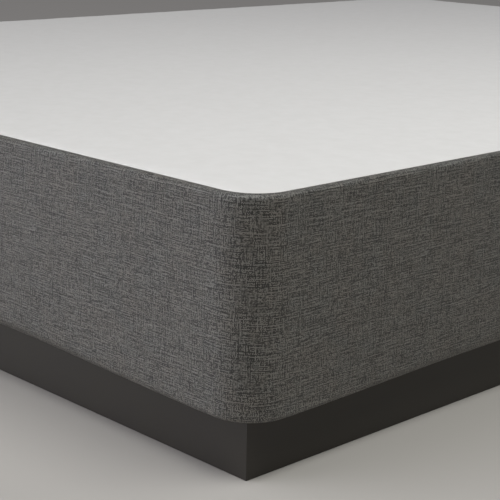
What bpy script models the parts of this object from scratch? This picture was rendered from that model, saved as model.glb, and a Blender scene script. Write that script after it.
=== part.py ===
"""A fitted cloth cover on a queen box spring that stands on a mitred plinth.

Units are metres, +Z is up and +Y points to the head end. The origin is on the floor,
under the middle of the bed. The cover is a side band, sewn round a flat top panel.
"""

import itertools
import math

import bmesh
import bpy
from mathutils import Vector

# Box spring, a queen size of 60 by 80 by 9 inches
BOX_WIDTH = 1.524
BOX_LENGTH = 2.032
BOX_HEIGHT = 0.229
BOX_CORNER_RADIUS = 0.048
BOX_TOP_EDGE_RADIUS = 0.008
BOX_BOTTOM_EDGE_RADIUS = 0.020

# Cloth, and the room it keeps
CLOTH_THICKNESS = 0.0015
SIDE_CLEARANCE = 0.002
TOUCH_GAP = 0.0003

# Side band
TOP_FOLD_RADIUS = 0.006
TOP_SEAM_INSET = 0.010
CORNER_FOLD_RADIUS = 0.006
SIDE_FOLD_RADIUS = 0.018
FOLD_UNEVENNESS = 0.0015
FOLD_RELAX_LENGTH = 0.35
HEM_INSET = 0.055
HEM_CORNER_RADIUS = 0.062
SLACK = 0.0024

# Unevenness of the cloth, as whole waves in one turn round the cover
SLACK_WAVES = (11, 17, 26)
SLACK_VARIATION = 0.25
FOLD_WAVES = (9, 14, 23)

# Plinth
PLINTH_HEIGHT = 0.0635
PLINTH_BOARD = 0.022
PLINTH_INSET = 0.020
PLINTH_EDGE_RADIUS = 0.001

# How near a board's caps and sides have to be to count as one edge
CAP_JOIN_DISTANCE = 0.00001

# How finely the curved shapes are divided
CORNER_STEPS = 8
STATION_SPACING = 0.07
TOP_FOLD_STEPS = 3
WALL_STEPS = 4
BOTTOM_FOLD_STEPS = 5
HEM_STEPS = 2
EDGE_STEPS = 3

# Heights, from the floor up
HEM_UNDERSIDE = PLINTH_HEIGHT + TOUCH_GAP
BOX_UNDERSIDE = HEM_UNDERSIDE + CLOTH_THICKNESS + TOUCH_GAP
BOX_TOP = BOX_UNDERSIDE + BOX_HEIGHT
COVER_TOP = BOX_TOP + TOUCH_GAP + CLOTH_THICKNESS

# Outer face of the cover, as half sizes of a rounded rectangle
CLOTH_REACH = SIDE_CLEARANCE + CLOTH_THICKNESS
COVER_HALF_X = BOX_WIDTH / 2 + CLOTH_REACH
COVER_HALF_Y = BOX_LENGTH / 2 + CLOTH_REACH
COVER_CORNER_RADIUS = BOX_CORNER_RADIUS + CLOTH_REACH

# Sides in the order foot, right, head, left, with the angle each one faces
SIDE_ANGLES = [math.radians(angle) for angle in (-90, 0, 90, 180)]
CORNER_SIGNS = [(1, -1), (1, 1), (-1, 1), (-1, -1)]


def clear_scene():
    """Removes whatever the file opened with."""
    for thing in list(bpy.data.objects):
        bpy.data.objects.remove(thing, do_unlink=True)


def make_material(name, colour, roughness, metallic=0.0):
    """A plain principled material."""
    material = bpy.data.materials.new(name)
    material.use_nodes = True
    shader = material.node_tree.nodes["Principled BSDF"]
    shader.inputs["Base Color"].default_value = (*colour, 1.0)
    shader.inputs["Roughness"].default_value = roughness
    shader.inputs["Metallic"].default_value = metallic
    return material


def add_object(name, data, material, collection):
    """Puts a mesh or a curve in the part's collection, in its material."""
    thing = bpy.data.objects.new(name, data)
    data.materials.append(material)
    collection.objects.link(thing)
    return thing


def facing(angle):
    """The unit vector at an angle in plan."""
    return Vector((math.cos(angle), math.sin(angle), 0.0))


def corner_centre(corner, half_x, half_y, radius):
    """Where the arc of a rounded rectangle's corner has its centre."""
    sign_x, sign_y = CORNER_SIGNS[corner]
    return Vector((sign_x * (half_x - radius), sign_y * (half_y - radius), 0.0))


def side_steps(side, spacing):
    """How many stations a straight side is divided into."""
    across = 2 * (COVER_HALF_X if side % 2 == 0 else COVER_HALF_Y)
    return max(1, round((across - 2 * COVER_CORNER_RADIUS) / spacing))


def plan_ring(half_x, half_y, radius, spacing):
    """Points and outward directions round a rounded rectangle, counter-clockwise."""
    ring = []
    for side, angle in enumerate(SIDE_ANGLES):
        start = corner_centre(side - 1, half_x, half_y, radius)
        end = corner_centre(side, half_x, half_y, radius)
        steps = side_steps(side, spacing)
        for step in range(steps):
            along = start.lerp(end, step / steps)
            ring.append((along + facing(angle) * radius, facing(angle)))
        for step in range(CORNER_STEPS):
            outward = facing(angle + math.radians(90) * step / CORNER_STEPS)
            ring.append((end + outward * radius, outward))
    return ring


def turns_round(ring):
    """How far round the outline each point lies, as an angle from 0 to one full turn."""
    steps = [(here[0] - before[0]).length for before, here in zip(ring[-1:] + ring, ring)]
    lengths = list(itertools.accumulate(steps))
    return [2 * math.pi * (length - steps[0]) / lengths[-1] for length in lengths]


def smooth_step(value):
    """Eases from 0 to 1 with level ends."""
    value = min(max(value, 0.0), 1.0)
    return value * value * (3 - 2 * value)


def corner_distance(point):
    """How far a point on the cover's outline is from the nearest rounded corner."""
    past_x = COVER_HALF_X - COVER_CORNER_RADIUS - abs(point.x)
    past_y = COVER_HALF_Y - COVER_CORNER_RADIUS - abs(point.y)
    return max(past_x, past_y, 0.0)


def slow_wave(turn, counts):
    """An uneven wave from -1 to 1 that closes on itself after one turn round the cover."""
    waves = [math.sin(count * (turn + 1)) for count in counts]
    return sum(waves) / len(waves)


def wall_slack(turn, point, height_share):
    """How far the cloth stands off its tight line, none at the corners and edges."""
    away = smooth_step(corner_distance(point) / FOLD_RELAX_LENGTH)
    belly = math.sin(math.pi * height_share)
    unevenness = 1 + SLACK_VARIATION * (slow_wave(turn, SLACK_WAVES) - 1)
    return SLACK * away * belly * unevenness


def fold_radius(turn, point):
    """The turn-under is tight at the corners and softer along the sides."""
    away = smooth_step(corner_distance(point) / FOLD_RELAX_LENGTH)
    soft = SIDE_FOLD_RADIUS + FOLD_UNEVENNESS * slow_wave(turn, FOLD_WAVES)
    return CORNER_FOLD_RADIUS + (soft - CORNER_FOLD_RADIUS) * away


def raised(height):
    """A step straight up from the floor."""
    return Vector((0.0, 0.0, height))


def top_fold(outer, outward):
    """From the seam, level over the box's top, then round the soft upper edge."""
    points = [outer - outward * TOP_SEAM_INSET + raised(COVER_TOP)]
    for step in range(TOP_FOLD_STEPS + 1):
        angle = math.radians(90) * step / TOP_FOLD_STEPS
        inset = TOP_FOLD_RADIUS * (1 - math.sin(angle))
        drop = TOP_FOLD_RADIUS * (1 - math.cos(angle))
        points.append(outer - outward * inset + raised(COVER_TOP - drop))
    return points


def wall(outer, outward, turn, foot):
    """Down the side, standing a little off its tight line in the middle."""
    head = COVER_TOP - TOP_FOLD_RADIUS
    points = []
    for step in range(1, WALL_STEPS):
        share = step / WALL_STEPS
        stand = outward * wall_slack(turn, outer, share)
        points.append(outer + stand + raised(head + (foot - head) * share))
    return points


def turn_under(outer, outward, radius):
    """Round the lower edge to the underside."""
    points = []
    for step in range(BOTTOM_FOLD_STEPS + 1):
        angle = math.radians(90) * step / BOTTOM_FOLD_STEPS
        inset = radius * (1 - math.cos(angle))
        rise = radius * (1 - math.sin(angle))
        points.append(outer - outward * inset + raised(HEM_UNDERSIDE + rise))
    return points


def hem(fold_end, hem_rim):
    """Level under the box to the edge that the elastic draws in."""
    rim = hem_rim + raised(HEM_UNDERSIDE)
    return [fold_end.lerp(rim, step / HEM_STEPS) for step in range(1, HEM_STEPS + 1)]


def band_section(turn, outer, outward, hem_rim):
    """One section through the band's outer face, from the top seam to the hem's edge."""
    radius = fold_radius(turn, outer)
    section = top_fold(outer, outward)
    section += wall(outer, outward, turn, HEM_UNDERSIDE + radius)
    section += turn_under(outer, outward, radius)
    section += hem(section[-1], hem_rim)
    return section


def build_side_band(material, collection):
    """The band is a loft round the box, because its fold and slack change from place to place."""
    outline = plan_ring(COVER_HALF_X, COVER_HALF_Y, COVER_CORNER_RADIUS, STATION_SPACING)
    hem_half_x = COVER_HALF_X - HEM_INSET
    hem_half_y = COVER_HALF_Y - HEM_INSET
    hem_ring = plan_ring(hem_half_x, hem_half_y, HEM_CORNER_RADIUS, STATION_SPACING)
    band = bmesh.new()
    sections = []
    for turn, (outer, outward), (hem_rim, _) in zip(turns_round(outline), outline, hem_ring):
        points = band_section(turn, outer, outward, hem_rim)
        sections.append([band.verts.new(point) for point in points])
    for number, section in enumerate(sections):
        following = sections[(number + 1) % len(sections)]
        for level in range(len(section) - 1):
            quad = (section[level], section[level + 1], following[level + 1], following[level])
            band.faces.new(quad)
    mesh = bpy.data.meshes.new("cover_side_band")
    band.to_mesh(mesh)
    band.free()
    mesh.shade_smooth()
    side_band = add_object("cover_side_band", mesh, material, collection)
    cloth = side_band.modifiers.new("cloth thickness", "SOLIDIFY")
    cloth.thickness = CLOTH_THICKNESS
    cloth.offset = -1.0
    cloth.use_even_offset = True
    return side_band


def flat_piece(name, outline, thickness, underside, material, collection):
    """A flat outline cut from a sheet or a board, lying at a given height."""
    curve = bpy.data.curves.new(name, "CURVE")
    curve.dimensions = "2D"
    curve.fill_mode = "BOTH"
    curve.extrude = thickness / 2
    spline = curve.splines.new("POLY")
    spline.points.add(len(outline) - 1)
    for target, point in zip(spline.points, outline):
        target.co = (point[0], point[1], 0.0, 1.0)
    spline.use_cyclic_u = True
    piece = add_object(name, curve, material, collection)
    piece.location.z = underside + thickness / 2
    return piece


def build_top_panel(material, collection):
    """The panel fills the band's top opening, lying on the box spring."""
    inset = TOP_SEAM_INSET + TOUCH_GAP
    half_x = COVER_HALF_X - inset
    half_y = COVER_HALF_Y - inset
    ring = plan_ring(half_x, half_y, COVER_CORNER_RADIUS - inset, BOX_LENGTH)
    outline = [point for point, _ in ring]
    underside = BOX_TOP + TOUCH_GAP
    return flat_piece(
        "cover_top_panel", outline, CLOTH_THICKNESS, underside, material, collection
    )


def edges_where(mesh, test):
    """The edges of a mesh whose two ends pass the test."""
    return [edge for edge in mesh.edges if test(*(vert.co for vert in edge.verts))]


def round_edges(mesh, edges, radius, steps):
    """Rounds the given edges with a circular bevel."""
    bmesh.ops.bevel(
        mesh, geom=edges, offset=radius, segments=steps, profile=0.5, affect="EDGES"
    )


def build_box_spring(material, collection):
    """A plain closed box with upright corners and long edges rounded."""
    box = bmesh.new()
    bmesh.ops.create_cube(box, size=1.0)
    bmesh.ops.scale(box, vec=(BOX_WIDTH, BOX_LENGTH, BOX_HEIGHT), verts=box.verts)
    half = BOX_HEIGHT / 2
    upright = edges_where(box, lambda a, b: abs(a.z - b.z) > half)
    round_edges(box, upright, BOX_CORNER_RADIUS, CORNER_STEPS)
    top = edges_where(box, lambda a, b: min(a.z, b.z) > half - TOUCH_GAP)
    round_edges(box, top, BOX_TOP_EDGE_RADIUS, EDGE_STEPS)
    bottom = edges_where(box, lambda a, b: max(a.z, b.z) < TOUCH_GAP - half)
    round_edges(box, bottom, BOX_BOTTOM_EDGE_RADIUS, EDGE_STEPS)
    mesh = bpy.data.meshes.new("box_spring")
    box.to_mesh(mesh)
    box.free()
    mesh.shade_smooth()
    spring = add_object("box_spring", mesh, material, collection)
    spring.location.z = BOX_UNDERSIDE + half
    return spring


def build_plinth(material, collection):
    """Four boards on edge, mitred at the corners and set back under the cover."""
    half_x = COVER_HALF_X - PLINTH_INSET
    half_y = COVER_HALF_Y - PLINTH_INSET
    boards = []
    for name, half_run, half_across, angle in (
        ("plinth_foot", half_x, half_y, 0),
        ("plinth_right", half_y, half_x, 90),
        ("plinth_head", half_x, half_y, 180),
        ("plinth_left", half_y, half_x, 270),
    ):
        outer_end = half_run - TOUCH_GAP
        inner_end = outer_end - PLINTH_BOARD
        outline = [
            (-outer_end, -half_across),
            (outer_end, -half_across),
            (inner_end, PLINTH_BOARD - half_across),
            (-inner_end, PLINTH_BOARD - half_across),
        ]
        board = flat_piece(name, outline, PLINTH_HEIGHT, 0.0, material, collection)
        board.rotation_euler.z = math.radians(angle)
        caps = board.modifiers.new("join caps", "WELD")
        caps.merge_threshold = CAP_JOIN_DISTANCE
        edges = board.modifiers.new("eased edges", "BEVEL")
        edges.width = PLINTH_EDGE_RADIUS
        edges.segments = 2
        boards.append(board)
    return boards


def main():
    clear_scene()
    collection = bpy.data.collections.new("box_spring_cover")
    bpy.context.scene.collection.children.link(collection)
    linen_look = make_material("linen-look cloth", (0.115, 0.110, 0.105), 0.9)
    platform = make_material("platform cloth", (0.72, 0.71, 0.69), 0.85)
    ticking = make_material("box spring ticking", (0.62, 0.60, 0.56), 0.8)
    painted_board = make_material("painted board", (0.052, 0.046, 0.044), 0.45)
    build_plinth(painted_board, collection)
    build_box_spring(ticking, collection)
    build_top_panel(platform, collection)
    build_side_band(linen_look, collection)


main()
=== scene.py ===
# %% [markdown]
# # A fitted box spring cover, corner view
#
# This lesson dresses a queen box spring in its fitted cover: a grey linen-look side band,
# sewn round a plain off-white platform panel, over a box spring on a dark painted plinth.
# The solids that are loaded first hold the true sizes. Everything here is placed from
# those sizes, so no piece is fitted by eye.

# %% Load the solids that everything is built around
import math

import bpy
import numpy as np
from mathutils import Matrix, Vector


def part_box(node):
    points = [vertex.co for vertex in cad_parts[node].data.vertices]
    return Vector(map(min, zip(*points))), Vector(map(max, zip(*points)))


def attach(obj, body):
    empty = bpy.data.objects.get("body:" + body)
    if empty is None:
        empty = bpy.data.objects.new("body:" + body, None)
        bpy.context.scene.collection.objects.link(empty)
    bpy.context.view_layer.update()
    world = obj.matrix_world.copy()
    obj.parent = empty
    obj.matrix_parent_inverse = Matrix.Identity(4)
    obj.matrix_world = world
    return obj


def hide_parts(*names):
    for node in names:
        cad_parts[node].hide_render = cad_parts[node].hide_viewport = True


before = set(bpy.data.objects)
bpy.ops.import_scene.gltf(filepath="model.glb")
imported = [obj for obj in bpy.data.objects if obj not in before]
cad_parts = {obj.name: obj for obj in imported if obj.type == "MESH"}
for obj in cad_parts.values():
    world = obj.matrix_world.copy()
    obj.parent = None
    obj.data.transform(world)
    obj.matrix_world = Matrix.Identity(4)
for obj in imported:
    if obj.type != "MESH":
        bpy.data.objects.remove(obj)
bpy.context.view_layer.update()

# %% [markdown]
# The cover is sewn to the box spring's size plus a little ease, so its outer face is a
# rounded rectangle a few millimetres outside the box. The box spring's own solid gives that
# rectangle, and the platform panel and the hem give the two heights between which the band
# stands.

# %% Read the cover's sizes from the solids
MM = 0.001
_, spring_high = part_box("box_spring")
_, panel_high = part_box("cover_top_panel")
band_low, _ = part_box("cover_side_band")
EASE = 3.5 * MM
HALF_X = spring_high.x + EASE
HALF_Y = spring_high.y + EASE
CORNER_RADIUS = 51.5 * MM
TOP = panel_high.z
UNDERSIDE = band_low.z
print("cover", round(2 * HALF_X, 4), "by", round(2 * HALF_Y, 4), "by", round(TOP - UNDERSIDE, 4))

# %% [markdown]
# A rounded rectangle could be drawn as a curve, but cloth needs to know how far round the
# bed each point is, because weave, puckers and gathers all follow that length. So one
# function turns lengths round the cover into a side or corner and a share of it, and a
# second one turns those into points on any rounded rectangle that belongs to the cover.

# %% Measure lengths round the cover
SIDE_ANGLES = np.radians([-90, 0, 90, 180])
CORNER_SIGNS = np.array([(1, -1), (1, 1), (-1, 1), (-1, -1)])
CORNER_LENGTH = math.radians(90) * CORNER_RADIUS
STRAIGHTS = [2 * (HALF_X - CORNER_RADIUS), 2 * (HALF_Y - CORNER_RADIUS)] * 2
STAGES = np.ravel([(straight, CORNER_LENGTH) for straight in STRAIGHTS])
STAGE_ENDS = np.cumsum(STAGES)
ROUND = STAGE_ENDS[-1]
WAVE_PHASE = 1.0


def stages_of(lengths):
    """The straight side or corner, numbered in turn, and the share of it, at each length."""
    lengths = np.mod(lengths, ROUND)
    stage = np.minimum(np.searchsorted(STAGE_ENDS, lengths, side="right"), len(STAGES) - 1)
    share = (lengths - (STAGE_ENDS - STAGES)[stage]) / STAGES[stage]
    return stage, share


def rounded_rectangle(lengths, half_x, half_y, radius):
    """Points and outward directions on a rounded rectangle, at lengths round the cover."""
    stage, share = stages_of(lengths)
    side = stage // 2
    centres = CORNER_SIGNS * (half_x - radius, half_y - radius)
    corner = stage % 2 == 1
    angle = SIDE_ANGLES[side] + np.where(corner, share * math.radians(90), 0.0)
    outward = np.column_stack([np.cos(angle), np.sin(angle)])
    along = centres[side - 1] + (centres[side] - centres[side - 1]) * share[:, None]
    centre = np.where(corner[:, None], centres[side], along)
    return centre + outward * radius, outward


def corner_distance(points):
    """How far each point of the cover's outline is from the nearest rounded corner."""
    past = (HALF_X - CORNER_RADIUS, HALF_Y - CORNER_RADIUS) - np.abs(points)
    return np.clip(past.max(axis=1), 0.0, None)


def smooth_step(value):
    """Eases from 0 to 1 with level ends."""
    value = np.clip(value, 0.0, 1.0)
    return value * value * (3 - 2 * value)


def slow_wave(lengths, counts):
    """An uneven wave from -1 to 1 that closes on itself after one turn round the cover."""
    turn = 2 * math.pi * lengths / ROUND
    return np.mean([np.sin(count * (turn + WAVE_PHASE)) for count in counts], axis=0)


print("once round the cover:", round(ROUND, 3), "m")

# %% [markdown]
# The photograph was taken from just above the bed with a long lens, looking at the foot-end
# corner, so the two sides run away at about the same slope. A long lens close in keeps the
# upright corner straight and the panel almost edge-on. The camera is turned about the
# cover's own corner, so it stays right if the bed's size changes.

# %% Place the camera at the foot-end corner
LENS_MM = 100.0
AZIMUTH = math.radians(45.76)
PITCH = math.radians(14.76)
TILT = math.radians(1.3)
DISTANCE = 1.3062
AIM_SIDEWAYS = -1.6 * MM
AIM_HEIGHT = 184.7 * MM

corner_foot = Vector((HALF_X, -HALF_Y, UNDERSIDE))
level_back = Vector((math.sin(AZIMUTH), -math.cos(AZIMUTH), 0.0))
back = level_back * math.cos(PITCH) + Vector((0, 0, math.sin(PITCH)))
level_right = Vector((math.cos(AZIMUTH), math.sin(AZIMUTH), 0.0))
level_up = back.cross(level_right)
right = level_right * math.cos(TILT) + level_up * math.sin(TILT)
up = level_up * math.cos(TILT) - level_right * math.sin(TILT)
aim = corner_foot + level_right * AIM_SIDEWAYS + Vector((0, 0, AIM_HEIGHT))
lens = bpy.data.cameras.new("corner_view")
lens.lens = LENS_MM
camera = bpy.data.objects.new("corner_view", lens)
bpy.context.scene.collection.objects.link(camera)
turned = Matrix((right, up, back)).transposed().to_4x4()
camera.matrix_world = Matrix.Translation(aim + back * DISTANCE) @ turned
bpy.context.scene.camera = camera
print("camera stands at", tuple(round(value, 3) for value in camera.matrix_world.translation))

# %% [markdown]
# Every finish below is made of shader nodes. Three helpers keep the cells short. The first
# turns the hex colours that a maker's colour card gives into the linear values that light
# is worked out in. The second joins or sets a node's inputs, and the third uses it to add
# one node of any kind, with its settings and its links.

# %% Helpers for colours and nodes


def linear(hex_colour):
    """Linear red, green, blue and alpha of an sRGB hex colour."""
    shares = [int(hex_colour[start:start + 2], 16) / 255 for start in (1, 3, 5)]
    bent = [share / 12.92 if share <= 0.04045 else ((share + 0.055) / 1.055) ** 2.4 for share in shares]
    return (*bent, 1.0)


def feed(tree, node, inputs):
    """Joins or sets each of a node's inputs that are named."""
    for name, value in inputs.items():
        if isinstance(value, bpy.types.NodeSocket):
            tree.links.new(value, node.inputs[name])
        else:
            node.inputs[name].default_value = value


def add_node(tree, kind, inputs=(), output=0, **settings):
    """Adds a node of any kind, sets it, feeds its inputs, and gives one of its outputs."""
    made = tree.nodes.new("ShaderNode" + kind)
    for name, value in settings.items():
        setattr(made, name, value)
    feed(tree, made, inputs if isinstance(inputs, dict) else dict(enumerate(inputs)))
    return made.outputs[output]


def new_finish(name):
    """An empty material with its principled shader."""
    material = bpy.data.materials.new(name)
    material.use_nodes = True
    return material, material.node_tree, material.node_tree.nodes["Principled BSDF"]


print("middle grey yarn in linear light:", [round(value, 3) for value in linear("#686663")[:3]])

# %% [markdown]
# The band's cloth is a linen-look plain weave: uneven polyester yarns in light, middle and
# dark greys, dyed before weaving. Light and dark slubs run along both directions for two or
# three centimetres and stop. A picture of cloth would be stretched or blurred, so each
# thread's shade is drawn from noise that runs along the thread.
#
# Real threads are about 0.7 mm apart. They are drawn at 1 mm, a little coarser, because one
# picture point covers about 1 mm of cloth here, and finer threads would blur into one grey.
# The drawing repeats every 0.3 m round the cover, which such fine flecks hide, so one tile of
# it serves the whole strip. Level threads run round the cover, so their noise is read on a
# ring that closes after each repeat.

# %% Threads of the linen-look weave
THREAD = 1.0 * MM
REPEATS = 24
REPEAT = ROUND / REPEATS
UPRIGHT_THREADS = 2 * round(REPEAT / THREAD / 2)
UPRIGHT_PITCH = REPEAT / UPRIGHT_THREADS


def ring_place(tree, length, feature, height):
    """A place on a ring that closes after one repeat, with features of a given length."""
    angle = add_node(tree, "Math", (length, 2 * math.pi / REPEAT), operation="MULTIPLY")
    start = add_node(tree, "CombineXYZ", {"X": REPEAT / feature / (2 * math.pi), "Z": height})
    turned = {"Vector": start, "Angle": angle}
    return add_node(tree, "VectorRotate", turned, rotation_type="Z_AXIS")


print(UPRIGHT_THREADS, "upright threads in a repeat of", round(REPEAT, 4), "m")

# %% [markdown]
# No thread runs quite straight. Both families are numbered from places that drift by up to
# a millimetre over a few centimetres, and upright threads are counted anew in each repeat.

# %% Number the threads
WANDER = 2.0 * MM
WANDER_LENGTH = 50 * MM
WANDER_NOISE = {"Scale": 1.0, "Detail": 1.0, "Roughness": 0.5}
WANDER_SLICES = (0.0, 5.0)


def number_threads(tree, length, depth):
    """Running numbers of the level and the upright thread at a place."""
    slow_depth = add_node(tree, "Math", (depth, WANDER_LENGTH), operation="DIVIDE")
    numbers = []
    for place, spacing, slice_ in zip((depth, length), (THREAD, UPRIGHT_PITCH), WANDER_SLICES):
        height = add_node(tree, "Math", (slow_depth, slice_), operation="ADD")
        ring = ring_place(tree, length, WANDER_LENGTH, height)
        drift = add_node(tree, "TexNoise", {"Vector": ring, **WANDER_NOISE})
        moved = add_node(tree, "Math", (drift, WANDER, place), operation="MULTIPLY_ADD")
        numbers.append(add_node(tree, "Math", (moved, spacing), operation="DIVIDE"))
    level, upright = numbers
    repeat = (upright, float(UPRIGHT_THREADS))
    return level, add_node(tree, "Math", repeat, operation="FLOORED_MODULO")


print("threads wander over", round(WANDER_LENGTH / MM), "mm")

# %% [markdown]
# A slub is a thick place in the yarn. Its shade is read from noise that is long along the
# thread and new for each thread. Weavers avoid laying like beside like, so each thread is
# set off a little against the next one, which makes the streaks crisp.

# %% Shades along the threads
LEVEL_SLUB = 30 * MM
UPRIGHT_SLUB = 25 * MM
UPRIGHT_SLICE = 11.0
NEXT_THREAD = 1.618
SET_OFF = 0.45
LEVEL_CONTRAST = 1.3
UPRIGHT_CONTRAST = 1.1
YARN_NOISE = {"Scale": 1.0, "Detail": 3.0, "Roughness": 0.8}


def level_place(tree, length, number):
    """A place for noise along a numbered level thread."""
    return ring_place(tree, length, LEVEL_SLUB, number)


def upright_place(tree, depth, number):
    """A place for noise along a numbered upright thread."""
    run = add_node(tree, "Math", (depth, UPRIGHT_SLUB), operation="DIVIDE")
    return add_node(tree, "CombineXYZ", (run, number, UPRIGHT_SLICE))


def thread_shade(tree, place_of, run, number, contrast):
    """How far a thread's shade is from middle grey, set off against the next thread."""
    own = add_node(tree, "Math", (number, NEXT_THREAD), operation="MULTIPLY")
    beside = add_node(tree, "Math", (own, NEXT_THREAD), operation="ADD")
    own_shade, beside_shade = [
        add_node(tree, "TexNoise", {"Vector": place_of(tree, run, place), **YARN_NOISE})
        for place in (own, beside)
    ]
    apart = add_node(tree, "Math", (beside_shade, -SET_OFF, own_shade), operation="MULTIPLY_ADD")
    middle = 0.5 * (1 - SET_OFF)
    return add_node(tree, "Math", (apart, contrast, -middle * contrast), operation="MULTIPLY_ADD")


print("slubs are about", round(LEVEL_SLUB / MM), "and", round(UPRIGHT_SLUB / MM), "mm long")

# %% [markdown]
# In a plain weave every thread goes over one and under one, like a chessboard. A thick slub
# pushes to the top more often, so the darkest and the lightest yarns cover their neighbours.
# Every crossing also has a fleck of its own, from the fibres that stand out there.

# %% Weave one thread over the other
SLUB_COVER = 7.0
TOP_BLEND = 0.2
CHESS_SLICE = 0.5
FLECKS = 1.0
FLECK_SLICE = 1.0
FLECK_SPREAD = (NEXT_THREAD, 0.714, 23.0)
FLECK_NOISE = {"Scale": 1.0, "Detail": 1.0, "Roughness": 0.8}


def top_shade(tree, numbers, shades):
    """The shade of the thread that lies on top, from the two numbers and shades."""
    level_shade, upright_shade = shades
    crossing = add_node(tree, "CombineXYZ", (*numbers, CHESS_SLICE))
    chess = add_node(tree, "TexChecker", {"Vector": crossing, "Scale": 1.0}, "Fac")
    level_slub, upright_slub = [
        add_node(tree, "Math", (shade,), operation="ABSOLUTE") for shade in shades
    ]
    thicker = add_node(tree, "Math", (upright_slub, level_slub), operation="SUBTRACT")
    lead = add_node(tree, "Math", (thicker, SLUB_COVER, chess), operation="MULTIPLY_ADD")
    upright_on_top = add_node(tree, "MapRange", (lead, TOP_BLEND, 1 - TOP_BLEND))
    return add_node(tree, "Mix", {0: upright_on_top, 2: level_shade, 3: upright_shade})


def flecked(tree, threads, shade):
    """The shade with a fleck at each crossing, where 0.5 is middle grey."""
    crossing = add_node(tree, "CombineXYZ", (*threads, FLECK_SLICE))
    apart = add_node(tree, "VectorMath", (crossing, FLECK_SPREAD), operation="MULTIPLY")
    fleck = add_node(tree, "TexNoise", {"Vector": apart, **FLECK_NOISE})
    lighter = add_node(tree, "Math", (fleck, FLECKS, shade), operation="MULTIPLY_ADD")
    return add_node(tree, "Math", (lighter, 0.5 - 0.5 * FLECKS), operation="ADD")


print("a thread lies on top where its slub leads by", round(0.5 / SLUB_COVER, 2))

# %% [markdown]
# The shade picks a yarn colour. Painted shade darkens the hollows between threads and a slight
# painted highlight lifts the crowns, and that painted shade alone gives the cloth dark flecks.
# The real cloth has as many light ones, so the step of light towards the bright yarn is the
# larger one. Soft patches of a warmer and a cooler hue keep the grey alive.

# %% Yarn colours
YARNS = ((0.38, "#383736"), (0.5, "#686663"), (0.62, "#92908D"))
HUES = ("#FDF9F1", "#F8FAF6")
HUE_LENGTH = 30 * MM
HUE_BLEND = 0.35
# Painted shade and highlight: the colour is scaled to 0.45 in the thread hollows and 1.1 on the crowns.
PAINTED_HOLLOW_SHADE, PAINTED_CROWN_HIGHLIGHT = 0.45, 1.1


def yarn_grey(tree, shade):
    """The grey of the yarn, from dark to light."""
    grey = add_node(tree, "ValToRGB", (shade,))
    stops = grey.node.color_ramp.elements
    stops.new(YARNS[1][0])
    for stop, (position, colour) in zip(stops, YARNS):
        stop.position = position
        stop.color = linear(colour)
    return grey


def hue_patches(tree, length, depth):
    """Soft patches of two hues that are nearly neutral."""
    slow_depth = add_node(tree, "Math", (depth, HUE_LENGTH), operation="DIVIDE")
    place = ring_place(tree, length, HUE_LENGTH, slow_depth)
    patches = add_node(tree, "TexNoise", {"Vector": place, **YARN_NOISE})
    share = add_node(tree, "MapRange", (patches, HUE_BLEND, 1 - HUE_BLEND))
    hues = {0: share, 6: linear(HUES[0]), 7: linear(HUES[1])}
    return add_node(tree, "Mix", hues, 2, data_type="RGBA")


def arched_crossing(tree, numbers):
    """Height over a crossing, from 0 in the hollows to 1 on the crown."""
    place = add_node(tree, "CombineXYZ", numbers)
    across = add_node(tree, "VectorMath", (place,), operation="FRACTION")
    turn = add_node(tree, "VectorMath", (across, (math.pi,) * 3), operation="MULTIPLY")
    arches = add_node(tree, "VectorMath", (turn,), operation="SINE")
    level_arch, upright_arch, _ = add_node(tree, "SeparateXYZ", (arches,)).node.outputs
    both = add_node(tree, "Math", (level_arch, upright_arch), operation="MULTIPLY")
    return add_node(tree, "Math", (both,), operation="SQRT")


def yarn_colour_with_painted_shade(tree, grey, hues, arch):
    """The dyed yarn, with painted shade in the hollows and a painted highlight on the crowns."""
    # Painted shade in the hollows and a painted highlight on the crowns, multiplied into the yarn
    # colour.
    light = add_node(tree, "MapRange", (arch, 0.0, 1.0, PAINTED_HOLLOW_SHADE, PAINTED_CROWN_HIGHLIGHT))
    colour = grey
    for factor in (hues, light):
        layers = {0: 1.0, 6: colour, 7: factor}
        colour = add_node(tree, "Mix", layers, 2, data_type="RGBA", blend_type="MULTIPLY")
    return colour


print("yarn greys:", [colour for _, colour in YARNS])

# %% [markdown]
# The slubs and the crowns also stand up a little, by tenths of a millimetre, and that relief
# breaks up the shine. Ridges follow the threads, so they use the same places as the shades.

# %% Relief of the yarns
CROWN_HEIGHT = 0.15
LEVEL_SLUB_HEIGHT = 0.6
UPRIGHT_SLUB_HEIGHT = 0.2
RIDGE_CHANGE = 0.45


def yarn_relief(tree, length, depth, numbers, arch):
    """Slubs and crowns as relief, with their heights in millimetres."""
    level, upright = numbers
    raised = add_node(tree, "Math", (arch, CROWN_HEIGHT), operation="MULTIPLY")
    for place_of, run, number, height in (
        (level_place, length, level, LEVEL_SLUB_HEIGHT),
        (upright_place, depth, upright, UPRIGHT_SLUB_HEIGHT),
    ):
        ridge = add_node(tree, "Math", (number, RIDGE_CHANGE), operation="MULTIPLY")
        slubs = add_node(tree, "TexNoise", {"Vector": place_of(tree, run, ridge), **FLECK_NOISE})
        raised = add_node(tree, "Math", (slubs, height, raised), operation="MULTIPLY_ADD")
    return add_node(tree, "Bump", {"Height": raised, "Strength": 1.0, "Distance": MM})


print("slubs stand up to", LEVEL_SLUB_HEIGHT, "mm")

# %% [markdown]
# Smooth polyester yarn has a low sheen. On the side that mirrors the low lamp it lays a pale
# veil over the flecks, so the same cloth looks smoother on the left than on the right. A
# matt yarn would spread that veil over every side and flatten the whole cloth.

# %% Linen-look plain weave for the side band
WEAVE_MAP = "weave"
YARN_ROUGHNESS = 0.42
YARN_SHINE = 0.45
YARN_FUZZ = 0.02
FUZZ_ROUGHNESS = 0.6


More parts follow.
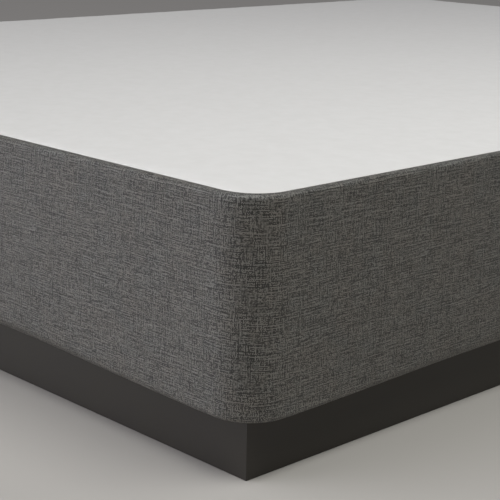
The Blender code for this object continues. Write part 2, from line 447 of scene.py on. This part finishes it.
def linen_look():
    """The grey melange cloth."""
    material, tree, shader = new_finish("linen_look_polyester")
    weave = add_node(tree, "UVMap", uv_map=WEAVE_MAP)
    length, depth, _ = add_node(tree, "SeparateXYZ", (weave,)).node.outputs
    numbers = number_threads(tree, length, depth)
    threads = [add_node(tree, "Math", (number,), operation="FLOOR") for number in numbers]
    shades = (
        thread_shade(tree, level_place, length, threads[0], LEVEL_CONTRAST),
        thread_shade(tree, upright_place, depth, threads[1], UPRIGHT_CONTRAST),
    )
    grey = yarn_grey(tree, flecked(tree, threads, top_shade(tree, numbers, shades)))
    # The arch drives both the relief and the painted shade and highlight in the yarn colour.
    arch = arched_crossing(tree, numbers)
    feed(tree, shader, {
        "Base Color": yarn_colour_with_painted_shade(tree, grey, hue_patches(tree, length, depth), arch),
        "Normal": yarn_relief(tree, length, depth, numbers, arch),
        "Roughness": YARN_ROUGHNESS,
        "Specular IOR Level": YARN_SHINE,
        "Sheen Weight": YARN_FUZZ,
        "Sheen Roughness": FUZZ_ROUGHNESS,
    })
    return material


linen_cloth = linen_look()
print("the weave has", len(linen_cloth.node_tree.nodes), "nodes")

# %% [markdown]
# The band is one strip of that cloth, about 7 m long, wrapped round the box with no seam at
# the corners. Its section changes as it goes: tight under the corners, where the elastic
# pulls it in, and softer along the sides. A flat strip could be wrapped by a simulation, but
# the strip is taut, so its shape is known, and placing the points by rule keeps the band in
# step with the solid that it dresses.

# %% How the band's section changes round the cover
CORNER_FOLD = 6 * MM
SIDE_FOLD = 18 * MM
FOLD_UNEVENNESS = 1.5 * MM
FOLD_WAVES = (9, 14, 23)
RELAX_LENGTH = 350 * MM
SLACK = 2.4 * MM
SLACK_VARIATION = 0.25
SLACK_WAVES = (11, 17, 26)


def fold_radius(lengths, away):
    """Radius of the turn-under, tight at the corners and softer along the sides."""
    soft = SIDE_FOLD + FOLD_UNEVENNESS * slow_wave(lengths, FOLD_WAVES)
    return CORNER_FOLD + (soft - CORNER_FOLD) * away


def wall_slack(lengths, away, share):
    """How far the wall stands off its tight line."""
    unevenness = 1 + SLACK_VARIATION * (slow_wave(lengths, SLACK_WAVES) - 1)
    return SLACK * away * np.sin(math.pi * share) * unevenness


print("the turn-under has a radius of", round(CORNER_FOLD / MM), "to", round(SIDE_FOLD / MM), "mm")

# %% [markdown]
# Even taut cloth keeps shallow creases. Most of them run up the wall, lean a little and fade
# towards both edges. Shorter ones start at the hem, where the elastic pulls.

# %% Small creases
CREASE_HEIGHT = 0.25 * MM
CREASE_WAVES = (71, 103, 137)
CREASE_LEAN = 30 * MM
CREASE_BEND = 4.0
PULL_HEIGHT = 0.35 * MM
PULL_WAVES = (163, 211, 257)
PULL_REACH = 0.14


def small_creases(lengths, share):
    """How far the creases stand out, at a share of the way down the wall."""
    upright = slow_wave(lengths + CREASE_LEAN * np.sin(CREASE_BEND * share), CREASE_WAVES)
    pulled = slow_wave(lengths, PULL_WAVES) * np.exp(-(1 - share) / PULL_REACH)
    return CREASE_HEIGHT * upright * np.sin(math.pi * share) + PULL_HEIGHT * pulled


print("creases stand out by up to", round((CREASE_HEIGHT + PULL_HEIGHT) / MM, 1), "mm")

# %% [markdown]
# Each row of points runs once round the cover. The first rows roll out of the seam on top
# and over the edge. The next ones go down the wall, and turn under it in a quarter circle.

# %% Rows of the top edge and the wall
SEAM_INSET = 10 * MM
SEAM_DIP = 0.8 * MM
SEAM_ROLL = 1.2 * MM
SEAM_TURNS = np.radians([90, 68, 45, 25, 10])
TOP_FOLD = 6 * MM
QUARTER_TURN = np.radians(np.linspace(0, 90, 9))
WALL_STEPS = 26
WALL_SHARES = np.arange(1, WALL_STEPS) / WALL_STEPS


def placed_row(outline, inset, height):
    """Points that lie inset from the tight outline, at a height."""
    outer, outward = outline
    inset = np.broadcast_to(inset, len(outer))[:, None]
    return np.column_stack([outer - outward * inset, np.broadcast_to(height, len(outer))])


def top_rows(outline):
    """Rows from the seam on top to the head of the wall."""
    rolls = [(SEAM_ROLL * (1 - math.sin(turn)), SEAM_DIP * (1 - math.cos(turn))) for turn in SEAM_TURNS]
    folds = [(1 - math.sin(turn), 1 - math.cos(turn)) for turn in QUARTER_TURN]
    seam = [placed_row(outline, SEAM_INSET - inwards, TOP - down) for inwards, down in rolls]
    return seam + [placed_row(outline, TOP_FOLD * x, TOP - TOP_FOLD * y) for x, y in folds]


def wall_rows(outline, lengths, away, radius):
    """Rows down the wall and round the turn under it."""
    head = TOP - TOP_FOLD
    foot = UNDERSIDE + radius
    rows = []
    for share in WALL_SHARES:
        stand = wall_slack(lengths, away, share) + small_creases(lengths, share)
        rows.append(placed_row(outline, -stand, head + (foot - head) * share))
    for turn in QUARTER_TURN:
        inset = radius * (1 - math.cos(turn)) - small_creases(lengths, 1.0) * math.cos(turn)
        rows.append(placed_row(outline, inset, foot - radius * math.sin(turn)))
    return rows


print("the wall is drawn with", len(WALL_SHARES), "rows")

# %% [markdown]
# Under the box the hem runs inwards, flat against the box at first. At its free edge the
# elastic gathers it, so the edge hangs down in small uneven waves.

# %% Rows of the hem, and the whole band
HEM_INSET = 55 * MM
HEM_RADIUS = 62 * MM
HEM_STEPS = 8
HEM_SHARES = np.arange(1, HEM_STEPS + 1) / HEM_STEPS
GATHER_DROP = 3 * MM
GATHER_WAVES = (97, 121, 151)
GATHER_START = 0.70
STATION = 8 * MM


def hem_rows(lengths, fold_end):
    """Rows from the turn-under to the gathered free edge."""
    rim, _ = rounded_rectangle(lengths, HALF_X - HEM_INSET, HALF_Y - HEM_INSET, HEM_RADIUS)
    waves = (1 + slow_wave(lengths, GATHER_WAVES)) / 2
    rows = []
    for share in HEM_SHARES:
        free = smooth_step((share - GATHER_START) / (1 - GATHER_START))
        place = fold_end + (rim - fold_end) * share
        rows.append(np.column_stack([place, UNDERSIDE - waves * free * GATHER_DROP]))
    return rows


per_repeat = round(REPEAT / STATION)
station_count = REPEATS * per_repeat
stations = np.arange(station_count) * ROUND / station_count
outline = rounded_rectangle(stations, HALF_X, HALF_Y, CORNER_RADIUS)
away = smooth_step(corner_distance(outline[0]) / RELAX_LENGTH)
wall = wall_rows(outline, stations, away, fold_radius(stations, away))
band_rows = np.array(top_rows(outline) + wall + hem_rows(stations, wall[-1][:, :2]))
print(len(band_rows), "rows of", station_count, "points")

# %% [markdown]
# Rows of points become cloth when each pair of neighbouring rows is joined by faces.
# Solidify then gives the sheet its thickness, inwards. A curve swept round the cover would
# also do, but then its section could not change as it goes.

# %% Turn rows of points into cloth


def joined_rows(row_count, count):
    """Faces between neighbouring rows that close round the cover."""
    start = np.arange(count)
    following = (start + 1) % count
    upper = np.arange(row_count - 1)[:, None] * count
    lower = upper + count
    corners = [upper + start, lower + start, lower + following, upper + following]
    return np.stack(corners, axis=2).reshape(-1, 4)


def cloth_sheet(name, rows, faces, thickness):
    """A smooth sheet through the rows, thickened inwards."""
    mesh = bpy.data.meshes.new(name)
    mesh.from_pydata(np.concatenate(rows).tolist(), [], faces)
    mesh.shade_smooth()
    sheet = bpy.data.objects.new(name, mesh)
    bpy.context.scene.collection.objects.link(sheet)
    cloth = sheet.modifiers.new("cloth thickness", "SOLIDIFY")
    cloth.thickness = thickness
    cloth.offset = -1.0
    cloth.use_even_offset = True
    return sheet


BAND_CLOTH = 1.0 * MM
band_faces = joined_rows(len(band_rows), station_count)
side_band = cloth_sheet("side_band", band_rows, band_faces.tolist(), BAND_CLOTH)
print("the band has", len(band_faces), "faces")

# %% [markdown]
# The weave needs to follow the threads and not the room, so every corner of every face is
# given its length round the cover and its depth down the section, both in metres. A second
# map lays all the repeats of the weave over one another in one square, so that one baked
# tile serves every repeat at full sharpness.

# %% Lay the weave on the band
TILE_MAP = "OFBake"


def add_map(mesh, name, chart):
    """Gives each corner of each face its place in a map."""
    layer = mesh.uv_layers.new(name=name)
    layer.uv.foreach_set("vector", chart.astype(np.float32).ravel())


falls = np.linalg.norm(np.diff(band_rows, axis=0), axis=2)
depths = np.concatenate([np.zeros((1, station_count)), np.cumsum(falls, axis=0)])
columns = np.tile(np.arange(station_count), len(band_rows) - 1)[:, None] + (0, 0, 1, 1)
levels = np.repeat(np.arange(len(band_rows) - 1), station_count)[:, None] + (0, 1, 1, 0)
down = depths[levels, columns % station_count]
along = columns * ROUND / station_count
first_columns = columns[:, :1] // per_repeat * per_repeat
add_map(side_band.data, WEAVE_MAP, np.stack([along, down], axis=2))
tile = np.stack([(columns - first_columns) / per_repeat, down / depths.max()], axis=2)
add_map(side_band.data, TILE_MAP, tile)
side_band.data.materials.append(linen_cloth)
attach(side_band, "root")
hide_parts("cover_side_band")

# %% [markdown]
# The platform panel is never on show, so makers cut it from plain off-white sheeting. It is
# a percale: fine cotton-rich threads, all one shade, so the eye sees almost no weave, only a
# soft matt surface. Its threads are about 0.3 mm apart and are drawn at 0.9 mm, very shallow.
# Soft clouds of shade, less than two centimetres across, are what laundering leaves.

# %% Off-white percale for the platform panel
PERCALE_THREAD = 0.9 * MM
PERCALE_BEND = 0.6
PERCALE_HEIGHT = 0.0125 * MM
PERCALE_SHADES = ("#E2E0DC", "#ECEAE7")
MOTTLE_SIZE = 17 * MM
MOTTLE_NOISE = {"Scale": 1 / MOTTLE_SIZE, "Detail": 4.0}
PERCALE_ROUGHNESS = 0.8
PERCALE_SHINE = 0.3
PERCALE_FUZZ = 0.1


def wave_scale(spacing):
    """The scale at which a wave texture, with 20 lines in 2 pi, has lines at a spacing."""
    return 2 * math.pi / (20 * spacing)


def percale():
    """The plain off-white platform cloth."""
    material, tree, shader = new_finish("off_white_percale")
    place = add_node(tree, "TexCoord", output="Object")
    lines = {"Vector": place, "Scale": wave_scale(PERCALE_THREAD), "Distortion": PERCALE_BEND}
    threads = [add_node(tree, "TexWave", lines, "Fac", bands_direction=way) for way in "XY"]
    raised = add_node(tree, "Math", threads, operation="ADD")
    mottle = add_node(tree, "TexNoise", {"Vector": place, **MOTTLE_NOISE})
    shades = {0: mottle, 6: linear(PERCALE_SHADES[0]), 7: linear(PERCALE_SHADES[1])}
    feed(tree, shader, {
        "Base Color": add_node(tree, "Mix", shades, 2, data_type="RGBA"),
        "Normal": add_node(tree, "Bump", {"Height": raised, "Distance": PERCALE_HEIGHT}),
        "Roughness": PERCALE_ROUGHNESS,
        "Specular IOR Level": PERCALE_SHINE,
        "Sheen Weight": PERCALE_FUZZ,
    })
    return material


platform_cloth = percale()
print("percale threads are drawn", round(PERCALE_THREAD / MM, 2), "mm apart")

# %% [markdown]
# The panel is stretched flat, but no sewn sheet is truly flat: it stands up a little beyond
# the seam, is drawn into small puckers by the stitches, and slow waves cross it.

# %% Height of the platform panel
PUFF = 1.8 * MM
PUFF_REACH = 9 * MM
DIP_REACH = 0.9 * MM
PUCKER_HEIGHT = 0.45 * MM
PUCKER_REACH = 11 * MM
PUCKER_START = 1.5 * MM
PUCKER_WAVES = (317, 401, 463)
WAVE_HEIGHT = 0.35 * MM
WAVE_START = 160 * MM
WAVE_LIFT = 1.5
SLOW_WAVES = ((5.1, 2.3, 0.4), (-4.4, 3.7, 1.9), (9.3, -6.1, 0.0))


def panel_height(points, lengths, inset):
    """Height of the panel over its tight plane, from the seam inwards."""
    puff = PUFF * (1 - np.exp(-inset / PUFF_REACH)) - SEAM_DIP * np.exp(-inset / DIP_REACH)
    pucker = PUCKER_HEIGHT * slow_wave(lengths, PUCKER_WAVES) * np.exp(-inset / PUCKER_REACH)
    pucker = pucker * (1 - np.exp(-inset / PUCKER_START))
    x, y = points.T
    slow = sum(np.sin(across * x + along * y + start) for across, along, start in SLOW_WAVES)
    waves = WAVE_HEIGHT * (slow + WAVE_LIFT) * smooth_step(inset / WAVE_START)
    return puff + pucker + waves


print("the panel stands", round(PUFF / MM, 1), "mm over its seam")

# %% [markdown]
# The panel's rows run from the seam inwards until they close on a short core in the middle,
# which one last face fills. They are finest near the seam, where the puckers are.

# %% Platform panel
PANEL_CLOTH = 0.6 * MM
SEAM_GAP = 0.3 * MM
PANEL_STATION = 14 * MM
CORE_X, CORE_Y, CORE_RADIUS = 45 * MM, 320 * MM, 40 * MM
EDGE_ROWS = np.array([0, 0.3, 0.7, 1.2, 2, 3.2, 5, 7.5, 11, 16, 23, 32, 44, 60, 80]) * MM
MIDDLE_ROWS = np.linspace(105 * MM, HALF_X, 26)

panel_count = round(ROUND / PANEL_STATION)
panel_lengths = np.arange(panel_count) * ROUND / panel_count
edge_inset = SEAM_INSET + SEAM_GAP
edge_half = (HALF_X - edge_inset, HALF_Y - edge_inset)
edge, _ = rounded_rectangle(panel_lengths, *edge_half, CORNER_RADIUS - edge_inset)
core, _ = rounded_rectangle(panel_lengths, CORE_X, CORE_Y, CORE_RADIUS)
panel_rows = []
for inset in np.concatenate([EDGE_ROWS, MIDDLE_ROWS]):
    flat = edge + (core - edge) * inset / HALF_X
    height = TOP + panel_height(flat, panel_lengths, inset)
    panel_rows.append(np.column_stack([flat, height]))

facing_up = joined_rows(len(panel_rows), panel_count)[:, ::-1].tolist()
last_row = (len(panel_rows) - 1) * panel_count
facing_up.append(list(range(last_row, last_row + panel_count)))
platform_panel = cloth_sheet("platform_panel", panel_rows, facing_up, PANEL_CLOTH)
platform_panel.data.materials.append(platform_cloth)
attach(platform_panel, "root")
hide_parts("cover_top_panel")

# %% [markdown]
# The plinth is four boards of fibreboard, mitred, glued and filled, and then sprayed in a
# dark taupe satin paint, so no joint shows at the corners. It could be left as four boards,
# but their mitres would read as open cracks. One ring with slightly eased edges is what the
# spray gun leaves.

# %% Plinth as one sprayed ring
PAINTED_EDGE = 0.8 * MM
EDGE_STEPS = 3
foot_low, foot_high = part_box("plinth_foot")
_, head_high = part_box("plinth_head")
PLINTH_X, PLINTH_Y = foot_high.x, head_high.y
BOARD = foot_high.y - foot_low.y
PLINTH_TOP = foot_high.z


def plinth_ring():
    """A rectangular ring of boards with eased edges."""
    signs = ((-1, -1), (1, -1), (1, 1), (-1, 1))
    outer = [(x * PLINTH_X, y * PLINTH_Y) for x, y in signs]
    inner = [(x * (PLINTH_X - BOARD), y * (PLINTH_Y - BOARD)) for x, y in signs]
    points = [(x, y, z) for z in (0.0, PLINTH_TOP) for ring in (outer, inner) for x, y in ring]
    outer_low, inner_low, outer_top, inner_top = 0, 4, 8, 12
    turns = (outer_low, outer_top, inner_top, inner_low, outer_low)
    faces = []
    for corner in range(4):
        after = (corner + 1) % 4
        faces += [(a + corner, a + after, b + after, b + corner) for a, b in zip(turns, turns[1:])]
    mesh = bpy.data.meshes.new("painted_plinth")
    mesh.from_pydata(points, [], faces)
    mesh.shade_smooth()
    ring = bpy.data.objects.new("painted_plinth", mesh)
    bpy.context.scene.collection.objects.link(ring)
    ease = ring.modifiers.new("eased edges", "BEVEL")
    ease.width = PAINTED_EDGE
    ease.segments = EDGE_STEPS
    ease.harden_normals = True
    return ring


painted_plinth = plinth_ring()
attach(painted_plinth, "root")
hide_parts("plinth_foot", "plinth_head", "plinth_left", "plinth_right")
print("plinth", round(2 * PLINTH_X, 3), "by", round(2 * PLINTH_Y, 3), "by", round(PLINTH_TOP, 4))

# %% [markdown]
# Sprayed paint is smooth to the hand but not like glass: a faint orange peel, with bumps
# about 3 mm apart, softens its reflections. The paint is a very dark taupe, and its satin
# surface adds a veil of light on the side that faces the low strip, so the left board looks
# a good deal greyer than the right one.

# %% Satin paint for the plinth
PAINT_SHADES = ("#302C29", "#353129")
PEEL_SIZE = 3 * MM
PEEL_NOISE = {"Scale": 1 / PEEL_SIZE, "Detail": 2.0}
PEEL_HEIGHT = 0.012 * MM
CLOUD_SIZE = 70 * MM
CLOUD_NOISE = {"Scale": 1 / CLOUD_SIZE, "Detail": 3.0}
PAINT_ROUGHNESS = (0.42, 0.48)
PAINT_SHINE = 0.4


def satin_paint():
    """Dark taupe sprayed paint."""
    material, tree, shader = new_finish("satin_taupe_paint")
    place = add_node(tree, "TexCoord", output="Object")
    peel = add_node(tree, "TexNoise", {"Vector": place, **PEEL_NOISE})
    cloud = add_node(tree, "TexNoise", {"Vector": place, **CLOUD_NOISE})
    shades = {0: cloud, 6: linear(PAINT_SHADES[0]), 7: linear(PAINT_SHADES[1])}
    feed(tree, shader, {
        "Base Color": add_node(tree, "Mix", shades, 2, data_type="RGBA"),
        "Roughness": add_node(tree, "MapRange", (cloud, 0.0, 1.0, *PAINT_ROUGHNESS)),
        "Normal": add_node(tree, "Bump", {"Height": peel, "Distance": PEEL_HEIGHT}),
        "Specular IOR Level": PAINT_SHINE,
    })
    return material


painted_plinth.data.materials.append(satin_paint())
print("the paint's roughness runs from", PAINT_ROUGHNESS[0], "to", PAINT_ROUGHNESS[1])

# %% [markdown]
# The box spring is hidden by its cover except from below, where its plain ticking shows.
# Ticking is a close cotton twill, so fine slanted lines are enough. They are about 1 mm
# apart and are drawn at 3 mm.

# %% Ticking for the box spring
TWILL_LINE = 3 * MM
TWILL_BEND = 0.4
TWILL_HEIGHT = 0.03 * MM
TWILL_SHADES = ("#CFCAC2", "#DEDAD3")
TWILL_ROUGHNESS = 0.85


def ticking():
    """Plain off-white twill."""
    material, tree, shader = new_finish("ticking_twill")
    place = add_node(tree, "TexCoord", output="Object")
    lines = {"Vector": place, "Scale": wave_scale(TWILL_LINE), "Distortion": TWILL_BEND}
    twill = add_node(tree, "TexWave", lines, "Fac", bands_direction="DIAGONAL")
    shades = {0: twill, 6: linear(TWILL_SHADES[0]), 7: linear(TWILL_SHADES[1])}
    feed(tree, shader, {
        "Base Color": add_node(tree, "Mix", shades, 2, data_type="RGBA"),
        "Normal": add_node(tree, "Bump", {"Height": twill, "Distance": TWILL_HEIGHT}),
        "Roughness": TWILL_ROUGHNESS,
    })
    return material


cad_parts["box_spring"].material_slots[0].material = ticking()
print("the box spring is finished in", round(TWILL_LINE / MM, 1), "mm twill")

# %% [markdown]
# The floor is a plain pale sheet. The light is soft and comes from three places. A long
# strip stands low on the left, where the foot end mirrors it towards the camera, and gives
# the cloth and the paint their sheen on that side. A grid on its face keeps most of its
# light off the floor. A broad patch of sky behind it lights the same side and the panel. A
# high lamp on the right, a touch warmer, only grazes the long side. None of them faces the
# corner, which is why the corner is the darkest part of the cloth. Their strengths were
# balanced against one another, so that the foot end comes out about a third brighter than
# the long side. The room round them is plain grey, and sends a little light into the shade
# behind.

# %% Floor and lights
FLOOR_HALF = 30.0
FLOOR_SHADE = "#BDB9B3"
FLOOR_ROUGHNESS = 0.7
LAMP_DISTANCE = 3.0
LAMP_WIDTH = 2.0
LEFT_LIGHT = (0.995, 1.0, 1.08)
RIGHT_LIGHT = (0.987, 1.0, 0.985)
STRIP_WATTS = 2.6
STRIP_SPREAD = math.radians(50)
LAMP_WATTS = 53.8
LAMP_SPREAD = math.radians(180)
LAMPS = (
    ("low_strip", (-0.70, -0.71, 0.10), 0.30, STRIP_WATTS, STRIP_SPREAD, LEFT_LIGHT),
    ("high_lamp", (0.95, 0.30, 3.07), 0.90, LAMP_WATTS, LAMP_SPREAD, RIGHT_LIGHT),
)
SKY_DIRECTION = (-0.6, -0.6, 1.0)
SKY_DISTANCE = 6.0
SKY_STRENGTH = 1.0
SKY_SPREAD = math.radians(50)
ROOM_SHADE = "#595959"


def floor_sheet():
    """A large pale floor."""
    corners = [(x * FLOOR_HALF, y * FLOOR_HALF, 0) for x, y in ((-1, -1), (1, -1), (1, 1), (-1, 1))]
    mesh = bpy.data.meshes.new("floor")
    mesh.from_pydata(corners, [], [(0, 1, 2, 3)])
    material, _, shader = new_finish("pale_floor")
    feed(material.node_tree, shader, {"Base Color": linear(FLOOR_SHADE), "Roughness": FLOOR_ROUGHNESS})
    mesh.materials.append(material)
    floor = bpy.data.objects.new("floor", mesh)
    bpy.context.scene.collection.objects.link(floor)


def hang_light(light, direction, distance):
    """Hangs a light so that it faces the photographed corner from a direction."""
    stand = bpy.data.objects.new(light.name, light)
    bpy.context.scene.collection.objects.link(stand)
    way = Vector(direction).normalized()
    stand.location = corner_foot + way * distance
    stand.rotation_euler = way.to_track_quat("Z", "Y").to_euler()


def soft_box(name, direction, height, watts, spread, colour):
    """A wide lamp with a soft face. A grid on it keeps its light within the spread."""
    light = bpy.data.lights.new(name, "AREA")
    light.shape = "RECTANGLE"
    light.size = LAMP_WIDTH
    light.size_y = height
    light.energy = watts
    light.spread = spread
    light.color = colour
    hang_light(light, direction, LAMP_DISTANCE)


def soft_sky():
    """Light from a broad round patch of sky."""
    light = bpy.data.lights.new("left_sky", "SUN")
    light.energy = SKY_STRENGTH
    light.color = LEFT_LIGHT
    light.angle = SKY_SPREAD
    hang_light(light, SKY_DIRECTION, SKY_DISTANCE)


def grey_room():
    """A plain grey room all round, with colours shown as they are."""
    scene = bpy.context.scene
    scene.world = bpy.data.worlds.new("grey_room")
    scene.world.use_nodes = True
    room = scene.world.node_tree
    feed(room, room.nodes["Background"], {"Color": linear(ROOM_SHADE)})
    scene.view_settings.view_transform = "Standard"


floor_sheet()
for lamp in LAMPS:
    soft_box(*lamp)
soft_sky()
grey_room()
print("lights:", [light.name for light in bpy.data.lights])
